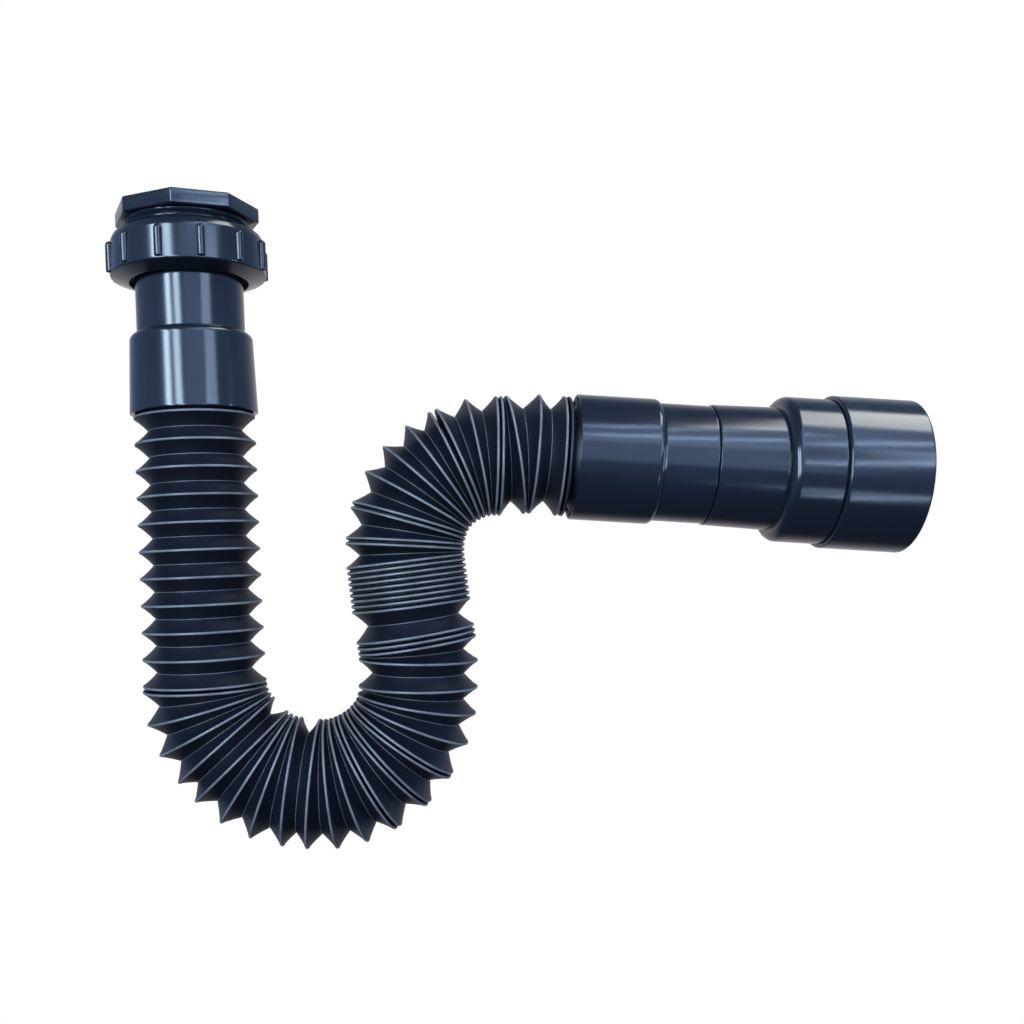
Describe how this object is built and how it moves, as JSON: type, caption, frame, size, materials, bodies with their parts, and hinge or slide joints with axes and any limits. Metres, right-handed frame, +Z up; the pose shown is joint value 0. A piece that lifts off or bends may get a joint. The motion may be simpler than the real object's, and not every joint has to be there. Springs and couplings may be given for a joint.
{
  "type": "flexible sink trap",
  "caption": "Flexible sink waste trap: a threaded octagonal bush and ribbed union nut, a corrugated hose bent into a U-shaped water seal, and a push-fit drain socket.",
  "frame": {"origin": "centre of the octagonal bush's top face, on the inlet axis, where the waste's tail screws in", "axes": "+Z up along the inlet axis, out of the bush towards the waste; +X from the inlet leg towards the drain socket; the hose lies in the XZ plane"},
  "size_m": [0.298, 0.0596, 0.242],
  "materials": {
    "graphite_plastic": "glossy moulded polypropylene, dark blue-grey",
    "bellows_plastic": "satin blow-moulded plastic, near black with a blue cast",
    "slip_ring_plastic": "plain natural-grey friction ring",
    "seal_rubber": "black sealing rubber"
  },
  "bodies": {
    "bush": {"octagon_bush": "graphite_plastic", "inlet_washer": "seal_rubber", "flat_gasket": "seal_rubber"},
    "slip_ring": {"slip_ring": "slip_ring_plastic"},
    "nut": {"union_nut": "graphite_plastic"},
    "hose": {"inlet_spigot": "graphite_plastic", "bellows": "bellows_plastic"},
    "outlet": {"outlet_collar": "graphite_plastic", "socket_body": "graphite_plastic", "lip_seal": "seal_rubber", "socket_cap": "graphite_plastic"}
  },
  "joints": [
    {"name": "nut_travel", "type": "slide", "parent": "bush", "child": "slip_ring", "axis": [0, 0, 1], "range_m": [-0.0078, 0]},
    {"name": "nut_turn", "type": "hinge", "parent": "slip_ring", "child": "nut", "pos_m": [0, 0, -0.0187], "axis": [0, 0, 1], "range_deg": [-1216, 0]},
    {"name": "hose_swivel", "type": "hinge", "parent": "bush", "child": "hose", "pos_m": [0, 0, -0.0217], "axis": [0, 0, 1], "continuous": true},
    {"name": "outlet_bend", "type": "hinge", "parent": "hose", "child": "outlet", "pos_m": [0.09514, 0, -0.10941], "axis": [0, 1, 0], "range_deg": [-45, 30], "deforming": ["bellows"]}
  ],
  "couplings": [
    {"joint": "nut_travel", "follows": "nut_turn", "m_per_rad": 0.00036751}
  ]
}
